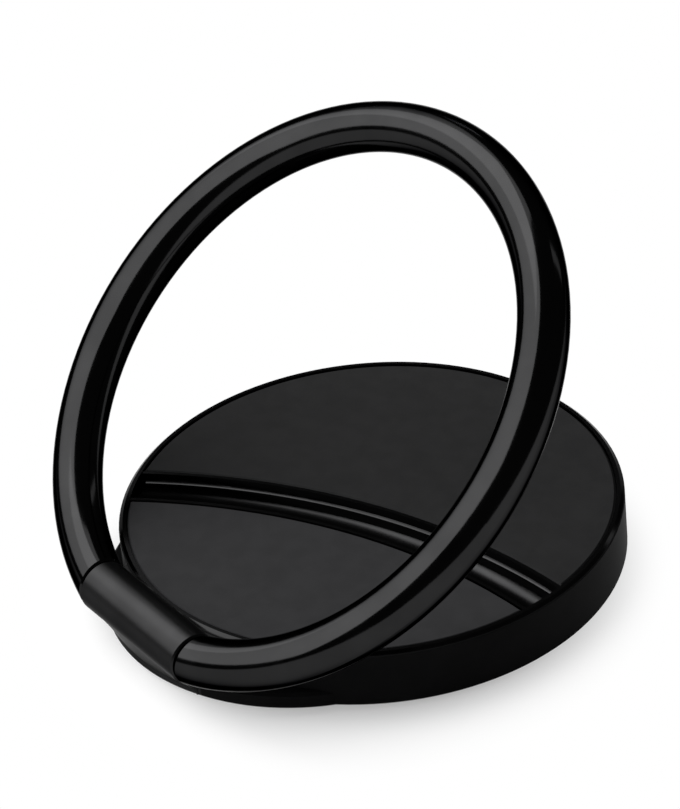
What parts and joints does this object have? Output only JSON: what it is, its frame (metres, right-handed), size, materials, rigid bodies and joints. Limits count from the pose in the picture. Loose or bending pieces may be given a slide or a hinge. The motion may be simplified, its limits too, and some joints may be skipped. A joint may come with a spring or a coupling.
{
  "type": "phone ring holder",
  "caption": "Round stick-on phone grip: a black disc that turns on its plate, with two matte face pads and a finger ring hinged at its edge.",
  "frame": {"origin": "middle of the sticky underside, on the axis that the disc turns about", "axes": "+Z out of the face, away from the phone; -Y from the middle to the hinge; X along the hinge pin"},
  "size_m": [0.0534, 0.0478, 0.0381],
  "materials": {
    "shell_black": "satin black coating, glossy in the channel",
    "ring_black": "polished black coating",
    "face_pad": "matte soft-touch",
    "spring_steel": "bright drawn steel",
    "plate_black": "black anodised",
    "adhesive": "dull tacky gel"
  },
  "bodies": {
    "plate": {"base_plate": "plate_black", "adhesive_pad": "adhesive", "wave_washer": "spring_steel"},
    "disc": {"shell": "shell_black", "moon_pad": "face_pad", "lens_pad": "face_pad", "friction_sleeve_left": "spring_steel", "friction_sleeve_right": "spring_steel", "retaining_ring": "spring_steel"},
    "ring": {"finger_ring": "ring_black", "hinge_pin": "spring_steel"}
  },
  "joints": [
    {"name": "disc_swivel", "type": "hinge", "parent": "plate", "child": "disc", "pos_m": [0, 0, 0], "axis": [0, 0, 1], "continuous": true},
    {"name": "ring_hinge", "type": "hinge", "parent": "disc", "child": "ring", "pos_m": [0, -0.02348, 0.0044], "axis": [1, 0, 0], "range_deg": [-41, 139]}
  ]
}
